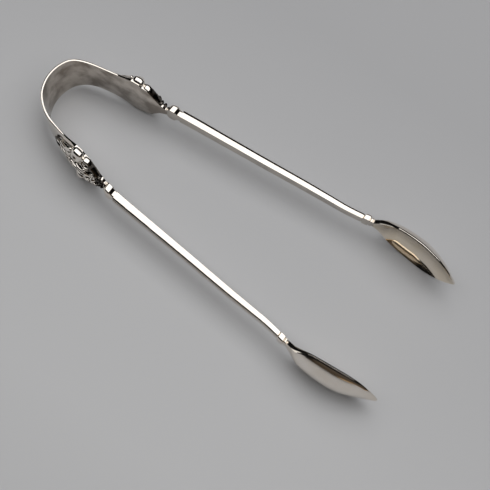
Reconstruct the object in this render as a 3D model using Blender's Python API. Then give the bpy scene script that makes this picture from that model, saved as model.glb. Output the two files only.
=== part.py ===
"""Sprung silver ice tongs lying on their side.

Metres, +Z up. X runs from the spring bow (-X) to the bowl tips (+X), Y from the right arm to the
left arm. Origin: centre of the bounding box's base. Plan stations below are distances from the
bow's apex in millimetres.
"""
import math

import bmesh
import bpy

# ---- driving dimensions (millimetres) ---------------------------------------------------------
MM = 0.001
LENGTH = 150.0                 # middle of the bow's band to the bowl tips
GAP = 0.3                      # clearance between soldered neighbours
BAND_T = 0.85                  # spring band thickness
PLATE_T = 1.25                 # shoulder plate thickness
BOWL_WALL = 0.9
PIVOT = (8.0, 11.5)            # middle of the flexing half of the bow, plan x and y
REST_X = (24.2, 26.2)          # level land on each shoulder lobe
TOUCH_X = 133.0                # start of the bowls' widest stretch, the second place that rests

# Centre line of half the bow in plan (x, y); it is mirrored for the other half.
BOW_LINE = [(0, 0), (0.2, 2.4), (0.8, 4.7), (1.85, 7.0), (3.6, 9.05), (6.4, 11.0), (9.5, 12.27),
            (13, 13.15), (16.5, 13.83), (20, 14.4)]
# Sideways shift of the whole form along its length (x, shift).
SWAY = [(-2, 1.25), (1.5, 1.25), (4, 0.95), (7, 0.6), (10, 0.42), (20, 0.15), (40, -0.5),
        (130, 0.0), (152, 0.0)]
# Half widths (vertical) of the band and of the shoulder's pierced outline.
BAND_H = [(0, 9.4), (3, 9.1), (6, 8.4), (9, 7.9), (13, 7.85), (17, 8.2), (20, 8.9)]
PLATE_H = [(20.3, 9.0), (21.2, 9.3), (22.4, 9.75), (23.4, 10.2), (24.2, 10.6), (26.2, 10.6),
           (27.0, 10.2), (27.6, 9.5), (28.0, 9.1), (28.6, 9.1), (29.6, 8.9), (30.5, 8.1),
           (31.5, 7.0), (32.5, 5.85), (33.5, 4.7), (34.3, 3.75), (35.0, 3.0), (35.8, 2.4),
           (36.8, 2.2)]
# Inner face of the arm in plan.
ARM_IN = [(20, 13.97), (24, 14.42), (28, 14.92), (32.5, 15.55), (37, 16.27), (42, 17.05),
          (60, 18.73), (75, 20.07), (90, 21.5), (100, 22.35), (106, 22.85), (110, 23.4),
          (113, 23.9), (117, 24.6)]
# Upper collar: x, half height, thickness.
COLLAR = [(37.1, 2.15, 2.3), (37.9, 2.85, 2.95), (38.3, 3.05, 3.25), (39.95, 3.05, 3.25),
          (40.2, 2.9, 3.15), (40.8, 2.45, 2.9), (41.35, 2.08, 2.7), (41.7, 1.9, 2.6)]
# Shaft: x, half height, thickness.
SHAFT = [(42.0, 2.25, 3.05), (50, 2.2, 2.95), (60, 2.12, 2.8), (80, 2.0, 2.6), (90, 1.95, 2.48),
         (100, 1.9, 2.28), (106, 1.87, 2.12), (112.6, 1.85, 2.05)]
# Lower collar bead and ring: x, half height, thickness, inner offset.
LOWER = [(112.9, 1.95, 2.2, 0.0), (113.15, 2.35, 2.7, -0.1), (113.4, 2.4, 2.75, -0.12),
         (114.8, 2.4, 2.75, -0.12), (115.05, 2.2, 2.5, -0.05), (115.25, 1.85, 2.05, 0.06),
         (115.45, 2.05, 2.25, 0.0), (116.1, 2.1, 2.3, 0.0), (116.3, 1.9, 2.05, 0.05),
         (116.6, 1.7, 1.8, 0.1)]
# Bowl: x, rim plan y, half width, outer depth, breadth of the rim's land.
BOWL = [(116.9, 24.73, 2.0, 1.8, 1.3), (118, 25.05, 2.85, 1.85, 1.3), (119, 25.28, 3.68, 1.95, 1.35),
        (120, 25.42, 4.52, 2.2, 1.4), (121, 25.48, 5.33, 2.5, 1.3), (122, 25.5, 6.1, 2.85, 1.1),
        (123, 25.48, 6.8, 3.2, 0.85), (124, 25.44, 7.4, 3.5, 0.66), (126, 25.36, 8.18, 4.0, 0.52),
        (128, 25.26, 8.7, 4.38, 0.5), (130, 25.14, 9.05, 4.56, 0.5), (133, 24.92, 9.3, 4.78, 0.5),
        (135, 24.74, 9.3, 4.82, 0.5), (137, 24.5, 9.02, 4.74, 0.5), (139, 24.27, 8.52, 4.5, 0.48),
        (141, 24.06, 7.87, 4.05, 0.46), (143, 23.87, 6.98, 3.43, 0.42), (145, 23.71, 5.73, 2.68, 0.38),
        (146.6, 23.58, 4.3, 2.08, 0.36), (148, 23.46, 2.8, 1.57, 0.34), (149.2, 23.38, 1.4, 1.15, 0.32),
        (150, 23.33, 0.45, 0.9, 0.3)]
LAND_FALL = 0.3                # how far the rim's land falls inwards, as a share of its breadth
# Applied ornament outline: x, half width.
ORNAMENT = [(13.2, 0.9), (14.0, 2.6), (15.2, 4.4), (16.6, 5.5), (18.2, 6.2), (19.8, 6.9),
            (21.0, 7.6), (22.0, 8.6), (23.0, 9.7), (24.2, 10.3), (25.6, 10.45), (26.8, 10.2),
            (27.7, 9.4), (28.3, 8.4), (29.0, 8.3), (30.2, 7.8), (31.4, 6.9), (32.2, 6.1),
            (33.2, 5.7), (34.0, 4.8), (34.6, 3.7), (35.4, 3.0), (36.4, 2.6)]
# Rolled lobes on the outline (x, z, radius, height), drawn for the upper half.
LOBES = [(25.5, 8.6, 1.9, 1.25), (30.3, 6.8, 1.4, 0.95), (33.1, 4.5, 1.1, 1.3),
         (20.6, 5.4, 1.4, 0.8)]
RELIEF = 1.7                   # height of the highest scrolls
# Scroll stems of the ornament in its own plane (x, z), drawn for the upper half.
SCROLLS = [[(14.5, 0.0), (17, 0.7), (20, 0.5), (24, 0.9), (28, 0.4), (32, 0.7), (35.5, 0.0)],
           [(15.5, 3.6), (18, 5.2), (21, 7.0), (24, 8.2), (26.3, 7.4), (26.2, 5.2), (24.2, 4.4),
            (23.0, 5.6), (24.4, 6.4)],
           [(18.0, 2.4), (20.5, 3.9), (22.0, 2.6), (20.8, 1.9)],
           [(27.6, 6.3), (30.2, 5.6), (31.9, 4.0), (31.2, 2.4), (29.4, 2.6), (29.2, 4.0)],
           [(33.0, 2.6), (34.9, 2.0), (34.6, 0.9)]]
MATERIAL = {"bow": (0.86, 0.85, 0.83, 1), "shoulder": (0.84, 0.83, 0.81, 1),
            "ornament": (0.74, 0.72, 0.70, 1), "collar": (0.85, 0.84, 0.82, 1),
            "shaft": (0.86, 0.85, 0.83, 1), "bowl": (0.82, 0.80, 0.77, 1)}


# ---- helpers ----------------------------------------------------------------------------------
def lookup(table, x, column=1):
    """Linear interpolation in a table whose first column is x."""
    for a, b in zip(table, table[1:]):
        if x <= b[0]:
            k = max(0.0, (x - a[0]) / (b[0] - a[0]))
            return a[column] + (b[column] - a[column]) * k
    return table[-1][column]


def centre_z(x):
    """Height of the tongs' mid-plane: shoulders and bowls both touch the table."""
    high = max(row[1] for row in PLATE_H)
    low = max(row[2] for row in BOWL)
    slope = (low - high) / (TOUCH_X - REST_X[1])
    return high + slope * min(max(x - REST_X[1], 0.0), TOUCH_X - REST_X[1])


def curve_points(points, steps):
    """Catmull-Rom curve through plan points."""
    ends = [points[0]] + list(points) + [points[-1]]
    out = []
    for i in range(1, len(ends) - 2):
        p0, p1, p2, p3 = ends[i - 1:i + 3]
        for k in range(steps):
            t = k / steps
            out.append(tuple(0.5 * (2 * b + (c - a) * t + (2 * a - 5 * b + 4 * c - d) * t * t
                                    + (3 * b - a - 3 * c + d) * t ** 3)
                             for a, b, c, d in zip(p0, p1, p2, p3)))
    out.append(tuple(points[-1]))
    return out


def world(x, y, z):
    """Plan millimetres to metres, with the hand-bent bow's slight lean off the centre line."""
    return ((x - (LENGTH - BAND_T / 2) / 2) * MM, (y + lookup(SWAY, x)) * MM, z * MM)


def material(name):
    made = bpy.data.materials.new(name)
    made.use_nodes = True
    shader = made.node_tree.nodes["Principled BSDF"]
    shader.inputs["Base Color"].default_value = MATERIAL[name.split("-")[0]]
    shader.inputs["Metallic"].default_value = 1.0
    shader.inputs["Roughness"].default_value = 0.12
    return made


def loft(name, kind, rings, smooth=True):
    """Closed body through rings of points, capped at both ends, with its faces turned outwards."""
    count = len(rings[0])
    verts = [world(*point) for ring in rings for point in ring]
    faces = [tuple(range(count)), tuple(reversed(range(len(verts) - count, len(verts))))]
    for i in range(len(rings) - 1):
        for k in range(count):
            a, b = i * count + k, i * count + (k + 1) % count
            faces.append((a, a + count, b + count, b))
    mesh = bpy.data.meshes.new(name)
    mesh.from_pydata(verts, [], faces)
    work = bmesh.new()
    work.from_mesh(mesh)
    bmesh.ops.recalc_face_normals(work, faces=work.faces)
    work.to_mesh(mesh)
    work.free()
    for polygon in mesh.polygons:
        polygon.use_smooth = smooth and len(polygon.vertices) == 4
    body = bpy.data.objects.new(name, mesh)
    body.data.materials.append(material(kind + "-" + name))
    bpy.context.collection.objects.link(body)
    return body


def block_ring(x, side, y_in, thick, half, bevel, z):
    """Rectangular section with eased edges at station x: list of (x, y, z)."""
    inner, outer = side * y_in, side * (y_in + thick)
    s = side * bevel
    return [(x, inner, z + half - bevel), (x, inner + s, z + half), (x, outer - s, z + half),
            (x, outer, z + half - bevel), (x, outer, z - half + bevel), (x, outer - s, z - half),
            (x, inner + s, z - half), (x, inner, z - half + bevel)]


def arm_y(x):
    return lookup(ARM_IN, x)


# ---- pieces -----------------------------------------------------------------------------------
def spring_bow():
    half = curve_points(BOW_LINE, 5)
    line = [(x, -y) for x, y in reversed(half[1:])] + half
    rings = []
    for i, (x, y) in enumerate(line):
        ax, ay = line[max(i - 1, 0)]
        bx, by = line[min(i + 1, len(line) - 1)]
        run = math.hypot(bx - ax, by - ay)
        nx, ny = (by - ay) / run, -(bx - ax) / run
        h, t, e, z = lookup(BAND_H, x), BAND_T / 2, 0.22, centre_z(x)
        profile = [(t, h - e), (t - e, h), (e - t, h), (-t, h - e),
                   (-t, e - h), (e - t, -h), (t - e, -h), (t, e - h)]
        rings.append([(x + nx * d, y + ny * d, z + up) for d, up in profile])
    loft("spring_bow", "bow", rings)


def shoulder_plate(label, side):
    rings = [block_ring(x, side, arm_y(x), PLATE_T, h, 0.25, centre_z(x)) for x, h in PLATE_H]
    loft(label + "_shoulder_plate", "shoulder", rings)


def outer_face(x):
    """Plan y of the surface the ornament is laid on."""
    if x >= PLATE_H[0][0] - 0.6:
        return arm_y(x) + PLATE_T
    return lookup(BOW_LINE, x) + BAND_T / 2


def segment_distance(px, pz, a, b):
    dx, dz = b[0] - a[0], b[1] - a[1]
    t = max(0.0, min(1.0, ((px - a[0]) * dx + (pz - a[1]) * dz) / (dx * dx + dz * dz)))
    return math.hypot(px - a[0] - t * dx, pz - a[1] - t * dz)


def relief_height(x, z, half):
    """Height of the cast relief above its base: raised border, stems and rolled scroll ends."""
    edge = half - abs(z)
    near = min(segment_distance(x, abs(z), a, b) for s in SCROLLS for a, b in zip(s, s[1:]))
    stem = math.exp(-(near / 0.75) ** 2)
    border = math.exp(-((edge - 0.55) / 0.5) ** 2)
    lobe = max(h * math.exp(-(math.hypot(x - cx, abs(z) - cz) / r) ** 4) for cx, cz, r, h in LOBES)
    taper = min(1.0, (x - ORNAMENT[0][0] + 1.2) / 6.0, (ORNAMENT[-1][0] - x + 1.5) / 3.0)
    return 0.35 + max(lobe, RELIEF * max(0.2, taper) * min(1.0, 0.72 * stem + 0.5 * border))


def scroll_ornament(label, side):
    across = 20
    rings = []
    x = ORNAMENT[0][0]
    while x < ORNAMENT[-1][0] + 0.01:
        half, base, z = lookup(ORNAMENT, x), outer_face(x) + GAP, centre_z(x)
        ring = [(x, side * base, z + half), (x, side * base, z - half)]
        for k in range(across + 1):
            v = -half + 2 * half * k / across
            ring.append((x, side * (base + relief_height(x, v, half)), z + v))
        rings.append(ring)
        x += 0.5
    loft(label + "_scroll_ornament", "ornament", rings)


def upper_collar(label, side):
    rings = [block_ring(x, side, arm_y(x) - 0.1, t, h, 0.35, centre_z(x)) for x, h, t in COLLAR]
    loft(label + "_upper_collar", "collar", rings)


def shaft(label, side):
    """Tapered bar: square edges inside, broad chamfers outside."""
    rings = []
    for x, h, t in SHAFT:
        z, inner, outer, c = centre_z(x), side * arm_y(x), side * (arm_y(x) + t), 0.55
        e = side * 0.12
        rings.append([(x, inner, z + h - 0.12), (x, inner + e, z + h), (x, outer - side * c, z + h),
                      (x, outer, z + h - c), (x, outer, z - h + c), (x, outer - side * c, z - h),
                      (x, inner + e, z - h), (x, inner, z - h + 0.12)])
    loft(label + "_shaft", "shaft", rings, smooth=False)


def lower_collar(label, side):
    rings = [block_ring(x, side, arm_y(x) + off, t, h, 0.5, centre_z(x)) for x, h, t, off in LOWER]
    loft(label + "_lower_collar", "collar", rings)


def circular(chord, sagitta, count):
    """Arc over a chord, from +chord to -chord: (bulge, height) points."""
    half = 2 * math.atan2(sagitta, chord)
    radius = chord / math.sin(half)
    angles = [half * (1 - 2 * k / count) for k in range(count + 1)]
    return [(radius * (math.cos(a) - math.cos(half)), radius * math.sin(a)) for a in angles]


def bowl(label, side):
    """Pointed spoon: a land sloping inwards round the rim, a round back and the hollow inside."""
    arc = 14
    rings = []
    for x, rim, w, depth, land in BOWL:
        z = centre_z(x)
        hollow = max(0.04, depth - BOWL_WALL) if 118 < x < 149 else 0.03
        if x < 123:
            hollow *= max(0.03, (x - 118) / 5)
        lip = min(LAND_FALL * land, 0.2 * w)
        back = circular(w, depth - land, arc)
        inside = circular(w - lip - 0.1, hollow, arc)
        ring = [(x, side * rim, z + w - lip)]
        ring += [(x, side * (rim + land + bulge), z + up) for bulge, up in back]
        ring.append((x, side * rim, z - w + lip))
        ring += [(x, side * (rim + dip), z + up) for dip, up in reversed(inside)]
        rings.append(ring)
    loft(label + "_bowl", "bowl", rings)


def joint_empty(label, side):
    """Marks the flexing line of one half of the bow; the arm's pieces hang on it."""
    empty = bpy.data.objects.new(label + "_flex_axis", None)
    empty.empty_display_size = 0.01
    empty.location = world(PIVOT[0], side * PIVOT[1], centre_z(PIVOT[0]))
    bpy.context.collection.objects.link(empty)
    bpy.context.view_layer.update()
    for body in [o for o in bpy.data.objects if o.name.startswith(label + "_") and o.data]:
        body.parent = empty
        body.matrix_parent_inverse = empty.matrix_world.inverted()


for old in list(bpy.data.objects):
    bpy.data.objects.remove(old, do_unlink=True)

spring_bow()
for arm, sign in (("left", 1), ("right", -1)):
    shoulder_plate(arm, sign)
    scroll_ornament(arm, sign)
    upper_collar(arm, sign)
    shaft(arm, sign)
    lower_collar(arm, sign)
    bowl(arm, sign)
    joint_empty(arm, sign)
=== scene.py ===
"""Looks of the sprung silver ice tongs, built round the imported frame.

Shapes are worked out in plan millimetres: x runs from the bow's apex to the bowl tips, y from the
centre line outwards on either arm, v is the height above the tongs' mid-plane.
"""
import math

import bpy
import numpy as np
from mathutils import Matrix, Vector


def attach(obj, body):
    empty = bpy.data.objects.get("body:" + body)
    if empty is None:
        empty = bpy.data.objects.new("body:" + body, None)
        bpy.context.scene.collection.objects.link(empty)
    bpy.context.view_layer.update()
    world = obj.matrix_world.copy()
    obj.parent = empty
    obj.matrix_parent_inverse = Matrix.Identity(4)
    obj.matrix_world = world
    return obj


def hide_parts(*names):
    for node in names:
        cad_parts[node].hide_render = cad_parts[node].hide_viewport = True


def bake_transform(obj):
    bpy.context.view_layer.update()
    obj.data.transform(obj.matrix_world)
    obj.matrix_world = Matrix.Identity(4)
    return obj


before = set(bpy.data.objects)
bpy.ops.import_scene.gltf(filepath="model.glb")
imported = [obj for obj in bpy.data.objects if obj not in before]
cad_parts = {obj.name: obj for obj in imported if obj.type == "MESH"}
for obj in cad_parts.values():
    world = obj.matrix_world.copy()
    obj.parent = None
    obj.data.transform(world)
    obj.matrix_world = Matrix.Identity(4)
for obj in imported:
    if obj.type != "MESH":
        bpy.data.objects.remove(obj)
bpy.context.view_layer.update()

MM = 0.001
LENGTH = 150.0
BAND_T = 0.85
X0 = (LENGTH - BAND_T / 2) / 2          # plan x of the frame's origin
HIGH, LOW = 10.6, 9.3                   # mid-plane height at the shoulders and at the bowls
SHOULDER_X, BOWL_X = 26.2, 133.0        # the mid-plane slopes down between these
SPLIT = 20.15                           # the band ends and the shoulder begins
PLATE_END = 37.2                        # the shoulder plate runs into the collar here

# Sideways shift of the whole form along its length (x, shift).
SWAY = [(-2, 1.25), (1.5, 1.25), (4, 0.95), (7, 0.6), (10, 0.42), (20, 0.15), (40, -0.5),
        (130, 0.0), (152, 0.0)]
# Middle of the band in plan (x, y), from the apex to the shoulder.
BOW_LINE = [(0, 0), (0.2, 2.4), (0.8, 4.7), (1.85, 7.0), (3.6, 9.05), (6.4, 11.0), (9.5, 12.27),
            (13, 13.15), (16.5, 13.83), (20, 14.4)]
# Inner face of the shoulder plate (x, y), then of the collars and the shaft.
ARM_TAIL = [(24, 14.42), (28, 14.92), (32.5, 15.55), (37, 16.27)]
ARM_IN = [(36, 16.12), (42, 17.05), (60, 18.73), (75, 20.07), (90, 21.5), (100, 22.35),
          (106, 22.85), (110, 23.4), (113, 23.9), (117, 24.6)]
# Half height and thickness of the band and the shoulder plate along x.
HALF_H = [(0, 9.4), (3, 9.1), (6, 8.4), (9, 7.9), (13, 7.85), (16, 8.05), (18, 8.35), (20, 8.85),
          (22.4, 9.55), (23.6, 9.85), (24.6, 9.95), (26.2, 9.95), (26.8, 9.7), (27.3, 9.2),
          (27.9, 8.8), (28.4, 8.75), (29.6, 8.6), (30.5, 7.8), (31.5, 6.7), (32.5, 5.55),
          (33.5, 4.25), (34.4, 3.2), (35.7, 2.35), (36.9, 1.6), (37.6, 1.6)]
THICK = [(-1, 0.85), (0, 0.85), (12, 0.85), (16, 1.0), (22, 1.25), (40, 1.25)]
# Top of the band: x, where its crown lies, how far it falls to the inner and the outer edge.
CROWN = [(-1, 0.62, 0.03, 0.22), (10, 0.62, 0.03, 0.22), (14, 0.5, 0.08, 0.6),
         (21, 0.48, 0.12, 0.85), (23.5, 0.8, 0.06, 0.06), (38, 0.8, 0.06, 0.06)]
# Upper collar: x, half height, thickness, inner offset.
UPPER = [(36.7, 1.7, 1.9, 0.12), (36.95, 1.82, 2.0, 0.1), (37.2, 2.12, 2.28, 0.05),
         (37.55, 2.55, 2.68, -0.02), (37.95, 2.88, 3.0, -0.08), (38.4, 3.05, 3.2, -0.12),
         (39.2, 3.1, 3.3, -0.13), (39.8, 3.06, 3.27, -0.12), (40.1, 2.93, 3.18, -0.1),
         (40.4, 2.64, 3.0, -0.04), (40.75, 2.26, 2.78, 0.03), (41.1, 1.98, 2.58, 0.08),
         (41.5, 1.86, 2.5, 0.1), (42.1, 1.85, 2.5, 0.1)]
# Shaft: x, half height, thickness, width of the flat on top.
SHAFT = [(42.1, 2.25, 3.05, 1.95), (50, 2.2, 2.95, 1.9), (60, 2.12, 2.8, 1.8),
         (80, 2.0, 2.6, 1.68), (90, 1.95, 2.48, 1.62), (100, 1.9, 2.28, 1.5),
         (106, 1.87, 2.12, 1.4), (112.75, 1.85, 2.05, 1.32)]
# Lower collar bead and ring: x, half height, thickness, inner offset.
LOWER = [(112.75, 1.55, 1.6, 0.1), (112.95, 1.65, 1.75, 0.08), (113.05, 2.15, 2.3, -0.02),
         (113.25, 2.36, 2.5, -0.08), (115.0, 2.36, 2.5, -0.08), (115.25, 2.15, 2.3, -0.02),
         (115.35, 1.75, 1.8, 0.1), (115.45, 1.75, 1.8, 0.1), (115.6, 1.98, 2.0, 0.02),
         (116.05, 2.0, 2.02, 0.02), (116.25, 1.8, 1.8, 0.06), (116.45, 1.5, 1.5, 0.1),
         (117.1, 1.4, 1.4, 0.15)]
# Bowl: x, rim plan y, half width, outer depth, breadth of the rim's land.
BOWL = [(116.4, 24.62, 1.6, 1.75, 1.45), (117, 24.75, 2.05, 1.8, 1.5), (118, 25.05, 2.85, 1.85, 1.5),
        (119, 25.28, 3.68, 2.05, 1.4), (120, 25.42, 4.52, 2.5, 1.3), (121, 25.48, 5.33, 2.95, 1.15),
        (122, 25.5, 6.1, 3.35, 0.95), (123, 25.48, 6.8, 3.68, 0.75), (124, 25.44, 7.4, 3.92, 0.6),
        (126, 25.36, 8.18, 4.25, 0.5), (128, 25.26, 8.7, 4.46, 0.48), (130, 25.14, 9.05, 4.63, 0.5),
        (133, 24.92, 9.28, 4.8, 0.5), (135, 24.74, 9.26, 4.82, 0.5), (137, 24.5, 9.02, 4.74, 0.5),
        (139, 24.27, 8.52, 4.5, 0.48), (141, 24.06, 7.87, 4.05, 0.46), (143, 23.87, 6.98, 3.43, 0.42),
        (145, 23.71, 5.73, 2.68, 0.38), (146.6, 23.58, 4.3, 2.08, 0.34), (148, 23.46, 2.8, 1.57, 0.3),
        (149.2, 23.38, 1.4, 1.12, 0.26), (150, 23.33, 0.25, 0.7, 0.24)]
WALL = 0.75                             # bowl wall in the middle
# How much of its full depth the bowl's hollow has along x.
HOLLOW_X, HOLLOW_SHARE = (116.5, 118, 120, 122, 125, 147, 149.6), (0.01, 0.05, 0.35, 0.75, 1, 1, 0.1)
VOXEL = 0.13                            # grain of the cast relief
SMOOTHINGS = 14                         # rounds of smoothing that show where its pits are
RAISE = 0.4                             # how much higher the relief stands away from its border

# Camera: looks down at PITCH, turned by YAW and rolled by ROLL; LENS and SENSOR in mm.
PITCH, YAW, ROLL = 72.30, -27.32, -8.65
LENS, SENSOR = 69.54, 36.0
EYE = (0.05535, -0.09123, 0.30804)


# ---- curves and sections ----------------------------------------------------------------------
def lookup(table, x, column=1):
    """A table's column read at x, straight between its rows."""
    rows = np.array(table, float)
    return float(np.interp(x, rows[:, 0], rows[:, column]))


def spline(points, t):
    """Catmull-Rom through points (their first column is the parameter), read at parameters t."""
    p = np.array(points, float)
    out = []
    for value in np.atleast_1d(t):
        i = int(np.clip(np.searchsorted(p[:, 0], value) - 1, 0, len(p) - 2))
        a, b = p[max(i - 1, 0)], p[i]
        c, d = p[i + 1], p[min(i + 2, len(p) - 1)]
        span = c[0] - b[0]
        k = (value - b[0]) / span
        m0 = (c - a) / max(c[0] - a[0], 1e-6) * span
        m1 = (d - b) / max(d[0] - b[0], 1e-6) * span
        out.append((2 * k**3 - 3 * k**2 + 1) * b + (k**3 - 2 * k**2 + k) * m0
                   + (3 * k**2 - 2 * k**3) * c + (k**3 - k**2) * m1)
    return np.array(out)


def centre_z(x):
    """Height of the mid-plane above the table."""
    return HIGH + (LOW - HIGH) * np.clip((x - SHOULDER_X) / (BOWL_X - SHOULDER_X), 0, 1)


def place(x, y, v, side):
    """Plan millimetres to the frame's metres."""
    x, y, v = np.broadcast_arrays(np.asarray(x, float), y, v)
    rows = np.array(SWAY)
    sway = np.interp(x, rows[:, 0], rows[:, 1])
    return np.stack([(x - X0) * MM, (side * y + sway) * MM, (centre_z(x) + v) * MM], -1)


def rounded(corners, radii, steps=4):
    """Points round a polygon whose corners are rounded."""
    out = []
    n = len(corners)
    for i in range(n):
        p, q, r = (np.array(corners[(i + k) % n], float) for k in (-1, 0, 1))
        a, b = p - q, r - q
        cut = min(radii[i], 0.45 * np.linalg.norm(a), 0.45 * np.linalg.norm(b))
        start, end = q + a / np.linalg.norm(a) * cut, q + b / np.linalg.norm(b) * cut
        for k in range(steps + 1):
            t = k / steps
            out.append((1 - t) ** 2 * start + 2 * t * (1 - t) * q + t * t * end)
    return np.array(out)


def with_mirror(line):
    """Rows (run, x, y) of a half line led in by its mirror image, and the half line's own runs."""
    run = np.concatenate([[0], np.cumsum(np.hypot(*np.diff(line, axis=0).T))])
    mirrored = np.vstack([(line[1:] * [1, -1])[::-1], line])
    return np.column_stack([np.concatenate([-run[1:][::-1], run]), mirrored]), run


def inner_path():
    """Inner face of one half from apex to collar: rows (run, x, y) with its mirror, and its length."""
    both, run = with_mirror(np.array(BOW_LINE, float))
    centre = spline(both, run)[:, 1:]
    step = 0.01
    ahead = spline(both, run + step)[:, 1:]
    back = spline(both, run - step)[:, 1:]
    tangent = (ahead - back) / np.linalg.norm(ahead - back, axis=1)[:, None]
    tangent[0] = (0, 1)
    outward = np.column_stack([-tangent[:, 1], tangent[:, 0]])
    both, run = with_mirror(np.vstack([centre - outward * BAND_T / 2, ARM_TAIL]))
    return both, run[-1]


PATH, PATH_END = inner_path()


def path_at(s):
    """Points and outward directions of the inner face at arc lengths s."""
    here = spline(PATH, s)[:, 1:]
    s, step = np.asarray(s), 0.02
    tangent = spline(PATH, s + step)[:, 1:] - spline(PATH, s - step)[:, 1:]
    tangent /= np.linalg.norm(tangent, axis=1)[:, None]
    return here, np.column_stack([-tangent[:, 1], tangent[:, 0]])


DENSE = np.linspace(0, PATH_END, 900)
DENSE_XY, DENSE_OUT = path_at(DENSE)


# ---- meshes -----------------------------------------------------------------------------------
def make(name, verts, faces, sharp=35):
    """Mesh object, smooth apart from edges sharper than an angle in degrees."""
    mesh = bpy.data.meshes.new(name)
    mesh.from_pydata([tuple(v) for v in verts], [], faces)
    mesh.validate()
    mesh.shade_smooth()
    mesh.set_sharp_from_angle(angle=math.radians(sharp))
    made = bpy.data.objects.new(name, mesh)
    bpy.context.collection.objects.link(made)
    return made


def skin(name, rings, side, caps=(True, True), sharp=35, shade_and_tarnish_marks=None):
    """Closed rings of points joined into a tube; caps closes its ends, and the last argument marks
    where painted shade and tarnish darken the silver.
    """
    rings = np.asarray(rings)
    n, m = rings.shape[:2]
    faces = []
    for i in range(n - 1):
        for k in range(m):
            a, b = i * m + k, i * m + (k + 1) % m
            face = (a, a + m, b + m, b)
            faces.append(face if side < 0 else face[::-1])
    ends = [tuple(range(m)), tuple(range((n - 1) * m, n * m))]
    for wanted, ring, flip in zip(caps, ends, (side < 0, side > 0)):
        if wanted:
            faces.append(ring[::-1] if flip else ring)
    made = make(name, rings.reshape(-1, 3), faces, sharp)
    if shade_and_tarnish_marks is not None:
        mark(made, np.tile(shade_and_tarnish_marks, n))
    return made


def mark(piece, shade_and_tarnish):
    """Per point: 0 where the silver shows its own colour, 1 where painted shade and tarnish darken it.
    """
    piece.data.attributes.new("shade_and_tarnish", "FLOAT", "POINT").data.foreach_set("value", shade_and_tarnish)


def inner_face(section, share=1.0):
    """Marks the points of a section that lie on its inner face, where painted shade (the dark
    reflection of the shaded floor) goes.
    """
    depth = section[:, 0] - section[:, 0].min()
    return np.where(depth < 0.02, share, 0.0)


def band_section(x):
    """Section of the band or shoulder plate: (outwards, up) points."""
    h, t = lookup_smooth(HALF_H, x), lookup(THICK, x)
    crown, inner, outer = (lookup(CROWN, x, column) for column in (1, 2, 3))
    corners = [(0, h - inner), (crown * t, h), (t, h - outer), (t, outer - h), (crown * t, -h),
               (0, inner - h)]
    return rounded(corners, [0.1, 0.16, 0.2, 0.2, 0.16, 0.1], 3)


def lookup_smooth(table, x, column=1):
    """A table's column read at x along a smooth curve, held at its ends."""
    rows = [(row[0], row[column]) for row in table]
    return float(spline(rows, min(max(x, rows[0][0]), rows[-1][0]))[0, 1])


def band_rings(s_values, side):
    """Rings of the band or shoulder plate at arc lengths from the apex."""
    rings = []
    here, out = path_at(s_values)
    for (px, py), (ox, oy) in zip(here, out):
        section = band_section(px)
        rings.append(place(px + ox * section[:, 0], py + oy * section[:, 0], section[:, 1], side))
    return rings


def collar_section(x, table):
    """Cushioned block: flat inside, well rounded outside."""
    h, t, offset = (lookup_smooth(table, x, column) for column in (1, 2, 3))
    y = lookup_smooth(ARM_IN, x) + offset
    corners = [(0, h), (0.8 * t, h), (t, 0.7 * h), (t, -0.7 * h), (0.8 * t, -h), (0, -h)]
    section = rounded(corners, [0.25, 0.4, 0.5, 0.5, 0.4, 0.25], 4)
    return y + section[:, 0], section[:, 1]


def shaft_section(x, table):
    """Flat inside and on top, with a sloping shoulder and two threads run along the outer face."""
    h, t, flat_top = (lookup_smooth(table, x, column) for column in (1, 2, 3))
    w = t - flat_top
    upper = [(0, h), (flat_top, h), (flat_top + 0.68 * w, h - 0.21 * w),
             (flat_top + 0.84 * w, h - 0.36 * w), (flat_top + 0.84 * w, h - 0.95 * w), (t, h - 1.1 * w)]
    corners = upper + [(y, -v) for y, v in reversed(upper)]
    half = [0.1, 0.1, 0.06, 0.05, 0.05, 0.05]
    section = rounded(corners, half + half[::-1], 2)
    return lookup_smooth(ARM_IN, x) + section[:, 0], section[:, 1]


def arm_piece(name, table, side, section, step, sharp=35):
    """Lofted stretch of an arm between the first and last station of its table."""
    count = max(2, int(round((table[-1][0] - table[0][0]) / step)))
    rings = []
    for x in np.linspace(table[0][0], table[-1][0], count + 1):
        y, v = section(x, table)
        rings.append(place(x, y, v, side))
    # the inner face gets painted shade: the dark reflection of the shaded floor
    return skin(name, rings, side, sharp=sharp, shade_and_tarnish_marks=inner_face(np.column_stack([y, v]), 0.6))


def circular(chord, sagitta, count):
    """Arc over a chord from +chord to -chord: how far it bulges, and where."""
    half = 2 * math.atan2(sagitta, chord)
    angle = np.linspace(half, -half, count)
    radius = chord / math.sin(half)
    return radius * (np.cos(angle) - math.cos(half)), radius * np.sin(angle)


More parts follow.
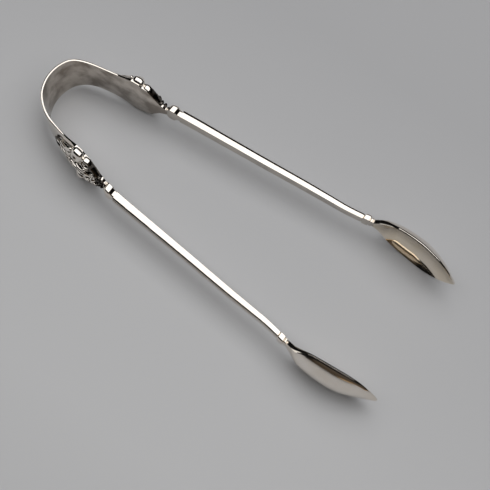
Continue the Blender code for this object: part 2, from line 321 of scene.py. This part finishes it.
def bowl_piece(name, side):
    """Pointed spoon: a land sloping inwards round the rim, a bevelled crest and a round back."""
    start, end = BOWL[0][0], BOWL[-1][0]
    stations = start + (end - start) * (1 - np.cos(np.linspace(0, math.pi, 110))) / 2
    rings = []
    for x in stations:
        rim, w, d, land = (lookup_smooth(BOWL, x, column) for column in (1, 2, 3, 4))
        land = min(land, 0.75 * d)
        lip = min(0.3 * land, 0.2 * w)
        bevel = min(0.6, 0.12 * w, 0.4 * (d - land))
        opening = float(np.interp(x, HOLLOW_X, HOLLOW_SHARE))
        belly = max(0.05, d - land - bevel)
        bulge, up = circular(w - 0.7 * bevel, belly, 49)
        dip, across = circular(w - lip - 0.05, max(0.012, (d - WALL) * opening), 41)
        crest_y = [rim, rim + 0.07, rim + land - 0.04, rim + land + 0.06]
        crest_v = [w - lip - 0.05, w - lip, w, w - 0.02]
        y = np.concatenate([crest_y, rim + land + bevel + bulge, crest_y[::-1], rim + dip[::-1]])
        v = np.concatenate([crest_v, up, [-a for a in crest_v[::-1]], -across])
        rings.append(place(x, y, v, side))
    # the hollow's points get painted warm bounce light and shade, with some tarnish
    shade_and_tarnish_marks = np.concatenate([np.zeros(4 + 49 + 4), np.ones(41)])
    return skin(name, rings, side, sharp=28, shade_and_tarnish_marks=shade_and_tarnish_marks)


# ---- the cast relief --------------------------------------------------------------------------
def worm(points, radii, flat=1.0, around=14):
    """Swept rounded strand through (x, v, c) points; returns vertices and faces."""
    pts = np.array(points, float)
    run = np.concatenate([[0], np.cumsum(np.linalg.norm(np.diff(pts, axis=0), axis=1))])
    t = np.linspace(0, run[-1], max(8, int(run[-1] / 0.22)))
    line = spline(np.column_stack([run, pts]), t)[:, 1:]
    size = np.interp(t, np.linspace(0, run[-1], len(radii)), radii)
    tangent = np.gradient(line, axis=0)
    tangent /= np.linalg.norm(tangent, axis=1)[:, None]
    across = np.cross(tangent, (0, 0, 1.0))
    across /= np.linalg.norm(across, axis=1)[:, None] + 1e-9
    up = np.cross(across, tangent)
    turn = np.linspace(0, 2 * math.pi, around, endpoint=False)
    rings = (line[:, None] + size[:, None, None] * (np.cos(turn)[None, :, None] * across[:, None]
             + flat * np.sin(turn)[None, :, None] * up[:, None]))
    cap_a = line[0] - tangent[0] * size[0] * 0.8
    cap_b = line[-1] + tangent[-1] * size[-1] * 0.8
    verts = np.vstack([rings.reshape(-1, 3), cap_a, cap_b])
    n = len(line)
    faces = [(i * around + k, i * around + (k + 1) % around, (i + 1) * around + (k + 1) % around,
              (i + 1) * around + k) for i in range(n - 1) for k in range(around)]
    faces += [(n * around, (k + 1) % around, k) for k in range(around)]
    last = (n - 1) * around
    faces += [(n * around + 1, last + k, last + (k + 1) % around) for k in range(around)]
    return verts, faces


def blob(centre, radii, around=20, tall=12, power=1.0, lean=0.0):
    """Ellipsoid at (x, v, c), leant in its plane; a power below 1 squares it to a cushion."""
    verts, faces = [], []
    for i in range(1, tall):
        a = math.pi * i / tall
        for k in range(around):
            b = 2 * math.pi * k / around
            verts.append((math.sin(a) * math.cos(b), math.sin(a) * math.sin(b), math.cos(a)))
    verts += [(0, 0, 1), (0, 0, -1)]
    for i in range(tall - 2):
        for k in range(around):
            a, b = i * around + k, i * around + (k + 1) % around
            faces.append((a, a + around, b + around, b))
    top, bottom = len(verts) - 2, len(verts) - 1
    last = (tall - 2) * around
    faces += [(top, k, (k + 1) % around) for k in range(around)]
    faces += [(bottom, last + (k + 1) % around, last + k) for k in range(around)]
    verts = np.array(verts)
    verts = np.sign(verts) * np.abs(verts) ** power * radii
    turn = np.array([[math.cos(lean), math.sin(lean), 0], [-math.sin(lean), math.cos(lean), 0],
                     [0, 0, 1]])
    return verts @ turn + centre, faces


def pad(outline, low, high):
    """Flat slab with the ornament's outline: (x, half width) rows."""
    loop = outline + [(x, -w) for x, w in reversed(outline)]
    verts = [(x, v, high) for x, v in loop] + [(x, v, low) for x, v in loop]
    n = len(loop)
    half = len(outline)
    faces = [(k, k + n, (k + 1) % n + n, (k + 1) % n) for k in range(n)]
    for k in range(half - 1):
        a, b, c, d = k, k + 1, n - 2 - k, n - 1 - k
        faces.append((a, b, c, d))
        faces.append((d + n, c + n, b + n, a + n))
    return np.array(verts, float), faces


def volute(cx, cv, c, start, turns, outer, inner, hand, steps=22):
    """Points of a spiral curling in to (cx, cv)."""
    out = []
    for k in range(steps):
        t = k / (steps - 1)
        r = outer * (inner / outer) ** t
        a = math.radians(start) + hand * 2 * math.pi * turns * t
        out.append((cx + r * math.cos(a), cv + r * math.sin(a), c))
    return out


PAD = [(12.8, 0.3), (13.8, 1.4), (14.8, 2.6), (16.2, 3.6), (18, 4.3), (19.8, 5.0), (21.2, 6.1),
       (22.2, 7.7), (23.2, 9.0), (24.4, 9.9), (25.8, 9.9), (26.6, 9.4), (27.4, 8.6), (28.2, 8.5),
       (29.6, 8.2), (30.5, 7.4), (31.5, 6.3), (32.5, 5.2), (33.5, 3.9), (34.3, 2.9), (35.0, 2.2),
       (36.0, 1.7), (36.8, 1.6)]


def ornament_parts():
    """Everything the casting is made of, as (vertices, faces) in (x, v, c) millimetres."""
    parts = [pad(PAD, -0.4, 0.12)]
    # palmette: a fan of long flutes spreading from the collar towards the bow
    for angle, reach in zip((-58, -29, 0, 29, 58), (5.6, 8.2, 9.6, 8.2, 5.6)):
        a = math.radians(angle)
        line = [(32.2 - r * math.cos(a), 0.72 * r * math.sin(a), c)
                for r, c in ((1.2, 0.6), (0.45 * reach, 1.35), (0.8 * reach, 1.6), (reach, 1.2))]
        parts.append(worm(line, [0.3, 0.42, 0.5, 0.4]))
        parts.append(blob(line[-1], (0.66, 0.6, 0.7)))
    parts.append(blob((32.5, 0, 0.7), (1.15, 1.0, 1.0)))
    parts.append(worm([(13.4, 0, 0.15), (15.2, 0, 0.3), (17.6, 0, 0.8), (20.0, 0, 1.05)],
                      [0.2, 0.35, 0.5, 0.42]))
    for s in (1, -1):
        def m(points, s=s):
            return [(x, s * v, c) for x, v, c in points]
        # pointed leaf with a deep cup at its tip
        parts.append(worm(m([(12.7, 0.1, 0.5), (14.2, 1.8, 0.85), (16.2, 3.0, 1.0),
                             (17.8, 2.7, 0.95), (18.6, 1.4, 0.8)]), [0.3, 0.42, 0.48, 0.45, 0.3]))
        # long S border rising to the lobe
        parts.append(worm(m([(16.6, 3.6, 0.6), (18.2, 4.4, 1.0), (20.0, 5.2, 1.2),
                             (21.5, 6.5, 1.2), (22.7, 8.2, 0.8)]), [0.35, 0.5, 0.58, 0.62, 0.7]))
        parts.append(worm(m([(18.9, 2.9, 0.5), (20.6, 3.5, 1.0), (22.2, 4.8, 1.15),
                             (22.9, 6.4, 0.9)]), [0.28, 0.36, 0.4, 0.3]))
        # scroll rolled into the shoulder's lobe
        parts.append(blob((25.6, s * 8.35, 0.38), (2.4, 2.2, 1.62), power=0.8))
        parts.append(worm(m(volute(25.2, 5.2, 1.0, 80, 1.2, 2.1, 0.7, 1)),
                          [0.5, 0.48, 0.44, 0.4, 0.34]))
        parts.append(blob((25.2, s * 5.2, 1.15), (0.62, 0.62, 0.75)))
        # ridge behind the notch, running out into a smooth falling border
        parts.append(worm(m([(28.0, 8.25, 0.1), (28.8, 8.62, 0.1), (29.8, 8.58, 0.05),
                             (30.7, 7.9, -0.02), (31.7, 6.4, -0.02), (32.9, 4.95, -0.02),
                             (34.1, 3.4, -0.02)]), [0.44, 0.48, 0.48, 0.48, 0.48, 0.48, 0.48], 2.45))
        parts.append(blob((31.6, s * 6.0, 0.55), (1.7, 0.75, 0.72), lean=-s * 0.85))
        parts.append(worm(m([(27.9, 8.2, 0.5), (28.2, 6.9, 1.0), (29.2, 5.9, 1.2),
                             (30.6, 5.5, 1.0)]), [0.5, 0.42, 0.4, 0.3]))
        # small scroll above the collar and the beads wrapped round the neck
        parts.append(worm(m(volute(32.6, 3.3, 1.1, 60, 1.15, 1.25, 0.45, -1)),
                          [0.42, 0.4, 0.36, 0.3]))
        parts.append(blob((34.6, s * 2.45, 0.05), (0.72, 0.85, 1.25)))
        parts.append(blob((35.9, s * 1.6, 0.05), (0.66, 0.8, 1.22)))
        # leaflets between the scrolls
        for x, v, turn, long in ((20.9, 1.9, 25, 2.2), (23.2, 3.3, 40, 2.0), (27.4, 6.6, -55, 1.7),
                                 (29.9, 4.2, -30, 1.8), (27.0, 4.2, 35, 1.6),
                                 (23.6, 6.9, 75, 1.6), (19.6, 1.4, 20, 1.6), (29.0, 7.0, -40, 1.4)):
            a = math.radians(turn)
            dx, dv = math.cos(a) * long / 2, math.sin(a) * long / 2
            parts.append(worm(m([(x - dx, v - dv, 0.5), (x, v, 1.05), (x + dx, v + dv, 0.7)]),
                              [0.2, 0.36, 0.24]))
    return parts


def shade_and_tarnish_of(co, soft):
    """Painted shade with tarnish in the hollows: 1 in pits, on the sunken ground, at the leaf's tip, in
    the cove and at the neck; else 0.
    """
    x, v, c = co.T
    border = np.interp(x, *np.array(PAD).T) - np.abs(v)
    pitted = np.clip((soft[:, 2] - c) / 0.14, 0, 1)
    sunk = np.clip((1.05 - c) / 0.4, 0, 1) * np.clip((border - 0.2) / 0.4, 0, 1)
    # painted shade: the neck is a painted dark reflection, the tip and the cove are painted shadow
    neck = np.clip((x - 34.2) / 0.6, 0, 1)
    tip = np.clip((15.4 - x) / 0.8, 0, 1)
    cove = np.clip((x - 30.6) / 0.4, 0, 1) * np.clip((1.0 - border) / 0.4, 0, 1)
    return np.max((pitted, sunk, 0.85 * neck, 0.8 * tip, 0.9 * cove), axis=0)


def relief_mesh():
    """The casting as one skin, still flat, with how much painted shade and tarnish each point gets."""
    verts, faces, base = [], [], 0
    for part_verts, part_faces in ornament_parts():
        verts.extend(map(tuple, part_verts))
        faces.extend(tuple(i + base for i in face) for face in part_faces)
        base += len(part_verts)
    made = make("relief_blank", verts, faces)
    remesh = made.modifiers.new("cast", "REMESH")
    remesh.mode, remesh.voxel_size = "VOXEL", VOXEL
    smooth = made.modifiers.new("soften", "SMOOTH")
    smooth.factor, smooth.iterations = 0.5, 2
    evaluated = made.evaluated_get(bpy.context.evaluated_depsgraph_get())
    mesh = bpy.data.meshes.new_from_object(evaluated)
    co = np.empty(len(mesh.vertices) * 3)
    mesh.vertices.foreach_get("co", co)
    co = co.reshape(-1, 3)
    edges = np.empty(len(mesh.edges) * 2, int)
    mesh.edges.foreach_get("vertices", edges)
    edges = edges.reshape(-1, 2)
    polygons = [tuple(p.vertices) for p in mesh.polygons]
    bpy.data.objects.remove(made, do_unlink=True)
    count = np.bincount(edges.ravel(), minlength=len(co)).clip(1)[:, None]
    soft = co.copy()
    for _ in range(SMOOTHINGS):
        total = np.zeros_like(soft)
        np.add.at(total, edges[:, 0], soft[edges[:, 1]])
        np.add.at(total, edges[:, 1], soft[edges[:, 0]])
        soft = total / count
    return co, polygons, shade_and_tarnish_of(co, soft)


RELIEF = relief_mesh()


def ornament_piece(name, side):
    """The relief bent onto the outer face of a shoulder plate."""
    co, polygons, shade_and_tarnish = RELIEF
    x, v, c = co.T
    s = np.interp(x, DENSE_XY[:, 0], DENSE)
    px, py = (np.interp(s, DENSE, DENSE_XY[:, k]) for k in (0, 1))
    ox, oy = (np.interp(s, DENSE, DENSE_OUT[:, k]) for k in (0, 1))
    rows = np.array(THICK)
    raised = np.clip(np.interp(x, *np.array(PAD).T) - np.abs(v) - 0.9, 0, 1)
    out = np.interp(x, rows[:, 0], rows[:, 1]) + np.where(c > 0, 1.0 + RAISE * raised, 1.0) * c
    verts = place(px + ox * out, py + oy * out, v, side)
    faces = polygons if side > 0 else [p[::-1] for p in polygons]
    made = make(name, verts, faces, 180)
    mark(made, shade_and_tarnish)
    return made


# ---- materials --------------------------------------------------------------------------------
def silver(name, tint, rough, wear, shade_and_patina=None, along=(1, 1, 1), patch=0.45):
    """Polished silver: hand-worked ripples, fine wear lines and an uneven darkening that is painted
    shade mixed with tarnish.
    """
    made = bpy.data.materials.new(name)
    made.use_nodes = True
    tree = made.node_tree
    node, link = tree.nodes.new, tree.links.new
    shader = tree.nodes["Principled BSDF"]
    shader.inputs["Metallic"].default_value = 1.0
    where = node("ShaderNodeTexCoord")
    in_mm = node("ShaderNodeMapping")
    in_mm.inputs["Scale"].default_value = (1000, 1000, 1000)
    link(where.outputs["Object"], in_mm.inputs["Vector"])

    cloud = node("ShaderNodeTexNoise")
    cloud.inputs["Scale"].default_value = 0.16
    cloud.inputs["Detail"].default_value = 3.0
    link(in_mm.outputs["Vector"], cloud.inputs["Vector"])
    tone = node("ShaderNodeValToRGB")
    tone.color_ramp.elements[0].position, tone.color_ramp.elements[1].position = 0.3, 0.72
    tone.color_ramp.elements[0].color = (*[c * s for c, s in zip(tint, (0.93, 0.90, 0.86))], 1)
    tone.color_ramp.elements[1].color = (*tint, 1)
    link(cloud.outputs["Fac"], tone.inputs["Fac"])
    colour = tone.outputs["Color"]
    # painted shade and tarnish: the base colour is pulled toward the given dark colour where the point
    # attribute is high, unevenly by the noise
    if shade_and_patina:
        shade_and_tarnish = node("ShaderNodeAttribute")
        shade_and_tarnish.attribute_name = "shade_and_tarnish"
        ramp = node("ShaderNodeMapRange")
        ramp.inputs["From Min"].default_value, ramp.inputs["From Max"].default_value = 0.05, 0.8
        link(shade_and_tarnish.outputs["Fac"], ramp.inputs["Value"])
        uneven = node("ShaderNodeMapRange")
        uneven.inputs["From Min"].default_value, uneven.inputs["From Max"].default_value = 0.35, 0.6
        uneven.inputs["To Min"].default_value = patch
        link(cloud.outputs["Fac"], uneven.inputs["Value"])
        amount = node("ShaderNodeMath")
        amount.operation = "MULTIPLY"
        link(ramp.outputs["Result"], amount.inputs[0])
        link(uneven.outputs["Result"], amount.inputs[1])
        dark = node("ShaderNodeMix")
        dark.data_type = "RGBA"
        link(amount.outputs["Value"], dark.inputs["Factor"])
        link(colour, dark.inputs["A"])
        dark.inputs["B"].default_value = (*shade_and_patina, 1)
        colour = dark.outputs["Result"]
    link(colour, shader.inputs["Base Color"])

    lines = node("ShaderNodeMapping")
    lines.inputs["Scale"].default_value = tuple(9.0 * k for k in along)
    lines.inputs["Rotation"].default_value = (0.1, 0.15, 0.4)
    link(in_mm.outputs["Vector"], lines.inputs["Vector"])
    scratch = node("ShaderNodeTexNoise")
    scratch.inputs["Scale"].default_value = 1.0
    scratch.inputs["Detail"].default_value = 2.0
    link(lines.outputs["Vector"], scratch.inputs["Vector"])
    gloss = node("ShaderNodeMapRange")
    gloss.inputs["From Min"].default_value, gloss.inputs["From Max"].default_value = 0.35, 0.75
    gloss.inputs["To Min"].default_value, gloss.inputs["To Max"].default_value = rough, rough + wear
    link(scratch.outputs["Fac"], gloss.inputs["Value"])
    link(gloss.outputs["Result"], shader.inputs["Roughness"])

    ripple = node("ShaderNodeTexNoise")
    ripple.inputs["Scale"].default_value = 0.22
    ripple.inputs["Detail"].default_value = 1.0
    link(in_mm.outputs["Vector"], ripple.inputs["Vector"])
    waves = node("ShaderNodeBump")
    waves.inputs["Strength"].default_value = 0.35
    waves.inputs["Distance"].default_value = 0.0001
    link(ripple.outputs["Fac"], waves.inputs["Height"])
    grain = node("ShaderNodeBump")
    grain.inputs["Strength"].default_value = 0.05
    grain.inputs["Distance"].default_value = 0.00001
    link(scratch.outputs["Fac"], grain.inputs["Height"])
    link(waves.outputs["Normal"], grain.inputs["Normal"])
    link(grain.outputs["Normal"], shader.inputs["Normal"])
    return made


TINT = (0.88, 0.83, 0.77)
# The dark colours are painted shade mixed with tarnish: on the inner faces of band and arms they stand
# for the dark reflection of the shaded floor, in the cast relief for shade and tarnish in its hollows,
# in the bowl's hollow for warm light bounced inside it, with some tarnish.
BAND = silver("silver_band", TINT, 0.045, 0.05, shade_and_patina=(0.31, 0.265, 0.22), along=(0.3, 0.3, 1.5),
              patch=0.25)
CAST = silver("silver_cast", (0.95, 0.91, 0.86), 0.06, 0.08, shade_and_patina=(0.022, 0.016, 0.012),
              patch=0.8)
ARM = silver("silver_arm", TINT, 0.05, 0.06, shade_and_patina=(0.45, 0.41, 0.36), along=(0.25, 1.5, 1.5))
SPOON = silver("silver_bowl", TINT, 0.05, 0.07, shade_and_patina=(0.80, 0.71, 0.58), along=(0.4, 1.0, 1.0))


def give(piece, material, body, slot, *nodes):
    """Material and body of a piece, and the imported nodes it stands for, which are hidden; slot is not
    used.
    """
    piece.data.materials.append(material)
    if body:
        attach(piece, body)
    if nodes:
        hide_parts(*nodes)
    return piece


# ---- pieces -----------------------------------------------------------------------------------
split_s = float(np.interp(SPLIT, DENSE_XY[:, 0], DENSE))
end_s = float(np.interp(PLATE_END, DENSE_XY[:, 0], DENSE))
for label, side in (("left", 1), ("right", -1)):
    body = label + "_arm"
    # the inner faces of band and plate get painted shade: the dark reflection of the shaded floor,
    # mottled like tarnish
    band = skin(label + "_bow_half", band_rings(np.linspace(0, split_s, 110), side), side,
                caps=(False, False), sharp=60, shade_and_tarnish_marks=inner_face(band_section(0)))
    give(band, BAND, None, "polished_silver_band", "spring_bow")
    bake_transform(band)

    plate = skin(label + "_shoulder", band_rings(np.linspace(split_s, end_s, 120), side), side,
                 caps=(False, True), sharp=60, shade_and_tarnish_marks=inner_face(band_section(0)))
    give(plate, BAND, body, "polished_silver_band", label + "_shoulder_plate")

    give(ornament_piece(label + "_scrolls", side), CAST, body, "cast_silver_relief",
         label + "_scroll_ornament")
    give(arm_piece(label + "_collar", UPPER, side, collar_section, 0.1, 60),
         ARM, body, "polished_silver_arm", label + "_upper_collar")
    give(arm_piece(label + "_rod", SHAFT, side, shaft_section, 1.0, 14),
         ARM, body, "polished_silver_arm", label + "_shaft")
    give(arm_piece(label + "_bead", LOWER, side, collar_section, 0.08, 60),
         ARM, body, "polished_silver_arm", label + "_lower_collar")
    give(bowl_piece(label + "_spoon", side), SPOON, body, "polished_silver_bowl", label + "_bowl")


# ---- floor, light and camera ------------------------------------------------------------------
FLOOR_SIZE, FLOOR_GAP = 8.0, 0.00002    # metres; the gap keeps resting faces clear of the floor


def flat(name, size, location, material):
    """Square plane that belongs to the stage."""
    half = size / 2
    plane = make(name, [(-half, -half, 0), (half, -half, 0), (half, half, 0), (-half, half, 0)],
                 [(0, 1, 2, 3)])
    plane.location = location
    plane.data.materials.append(material)
    return plane


def floor_material():
    """Pale matt table, a little darker towards the far side as painted light falloff."""
    made = bpy.data.materials.new("studio_floor")
    made.use_nodes = True
    tree = made.node_tree
    node, link = tree.nodes.new, tree.links.new
    shader = tree.nodes["Principled BSDF"]
    where = node("ShaderNodeTexCoord")
    split = node("ShaderNodeSeparateXYZ")
    link(where.outputs["Object"], split.inputs["Vector"])
    across = node("ShaderNodeMapRange")
    across.inputs["From Min"].default_value, across.inputs["From Max"].default_value = -0.08, 0.08
    link(split.outputs["Y"], across.inputs["Value"])
    # painted light falloff: the colour darkens from the near to the far side across y
    tone = node("ShaderNodeMix")
    tone.data_type = "RGBA"
    tone.inputs["A"].default_value = (0.580, 0.580, 0.586, 1)
    tone.inputs["B"].default_value = (0.440, 0.440, 0.449, 1)
    link(across.outputs["Result"], tone.inputs["Factor"])
    link(tone.outputs["Result"], shader.inputs["Base Color"])
    shader.inputs["Roughness"].default_value = 0.6
    shader.inputs["Specular IOR Level"].default_value = 0.2
    return made


def softbox(name, location, aim, size, radiance):
    """Rectangular area light of an even brightness, aimed at a point."""
    lamp = bpy.data.lights.new(name, "AREA")
    lamp.shape = "RECTANGLE"
    lamp.size, lamp.size_y = size
    lamp.energy = radiance * math.pi * size[0] * size[1]
    made = bpy.data.objects.new(name, lamp)
    made.location = location
    made.rotation_euler = (Vector(aim) - Vector(location)).to_track_quat("-Z", "Y").to_euler()
    bpy.context.collection.objects.link(made)
    return made


def world_light():
    """Dark studio with a dim warm glow along the front horizon; pale behind the object."""
    world = bpy.data.worlds.new("studio")
    bpy.context.scene.world = world
    world.use_nodes = True
    tree = world.node_tree
    node, link = tree.nodes.new, tree.links.new
    where = node("ShaderNodeTexCoord")
    split = node("ShaderNodeSeparateXYZ")
    link(where.outputs["Generated"], split.inputs["Vector"])
    dark, pale = (0.006, 0.006, 0.006, 1), (0.85, 0.85, 0.83, 1)

    def glow(stops):
        """Brightness by height above the horizon."""
        made = node("ShaderNodeValToRGB")
        made.color_ramp.elements[0].color = stops[0][1]
        made.color_ramp.elements[1].position, made.color_ramp.elements[1].color = stops[-1]
        for position, colour in stops[1:-1]:
            made.color_ramp.elements.new(position).color = colour
        link(split.outputs["Z"], made.inputs["Fac"])
        return made.outputs["Color"]

    def towards(axis, low, high):
        """Share that rises from 0 to 1 as the view direction goes from low to high on an axis."""
        part = node("ShaderNodeMapRange")
        part.inputs["From Min"].default_value, part.inputs["From Max"].default_value = low, high
        link(split.outputs[axis], part.inputs["Value"])
        return part.outputs["Result"]

    def blend(factor, a, b):
        """Colour a where the factor is 0, b where it is 1."""
        made = node("ShaderNodeMix")
        made.data_type = "RGBA"
        link(factor, made.inputs["Factor"])
        link(a, made.inputs["A"])
        link(b, made.inputs["B"])
        return made.outputs["Result"]

    window = glow([(0, pale), (0.26, pale), (0.32, dark), (1, dark)])
    brown = [(0.05, (0.05, 0.038, 0.027, 1)), (0.2, (0.075, 0.058, 0.044, 1)),
             (0.33, (0.10, 0.083, 0.066, 1)), (0.42, dark)]
    plain = glow([(0, (0.09, 0.07, 0.05, 1))] + brown)
    golden = glow([(0, (0.60, 0.42, 0.23, 1)), (0.02, (0.50, 0.35, 0.19, 1))] + brown)
    bare = glow([(0, dark), (1, dark)])
    left = blend(towards("X", -0.78, -0.68), window, bare)
    front = blend(towards("X", -0.35, -0.15), left, blend(towards("X", 0.2, 0.4), plain, golden))
    room = node("ShaderNodeMix")
    room.data_type = "RGBA"
    room.inputs["A"].default_value = dark
    link(towards("Y", -0.1, -0.3), room.inputs["Factor"])
    link(front, room.inputs["B"])
    ray = node("ShaderNodeLightPath")
    seen = node("ShaderNodeMix")
    seen.data_type = "RGBA"
    link(ray.outputs["Is Camera Ray"], seen.inputs["Factor"])
    link(room.outputs["Result"], seen.inputs["A"])
    seen.inputs["B"].default_value = (0.40, 0.40, 0.405, 1)
    link(seen.outputs["Result"], tree.nodes["Background"].inputs["Color"])


def camera():
    """Camera at EYE, set up from its pitch, turn and roll."""
    data = bpy.data.cameras.new("photo_view")
    data.lens, data.sensor_width = LENS, SENSOR
    data.clip_start, data.clip_end = 0.01, 20.0
    made = bpy.data.objects.new("photo_view", data)
    p, y, r = (math.radians(a) for a in (PITCH, YAW, ROLL))
    tilt = Matrix(((1, 0, 0), (0, math.sin(p), math.cos(p)), (0, -math.cos(p), math.sin(p))))
    turn = Matrix.Rotation(r, 3, "Z") @ tilt @ Matrix.Rotation(y, 3, "Z")
    made.matrix_world = Matrix.Translation(EYE) @ turn.transposed().to_4x4()
    bpy.context.collection.objects.link(made)
    bpy.context.scene.camera = made


flat("floor", FLOOR_SIZE, (0, 0, -FLOOR_GAP), floor_material())
softbox("overhead", (0.02, 0.14, 0.62), (0.02, 0.14, 0), (1.15, 0.80), 1.5)
softbox("back_key", (0.0, 0.13, 0.60), (0, 0, 0), (0.34, 0.26), 2.2).visible_glossy = False
world_light()
camera()
bpy.context.scene.view_settings.view_transform = "Standard"
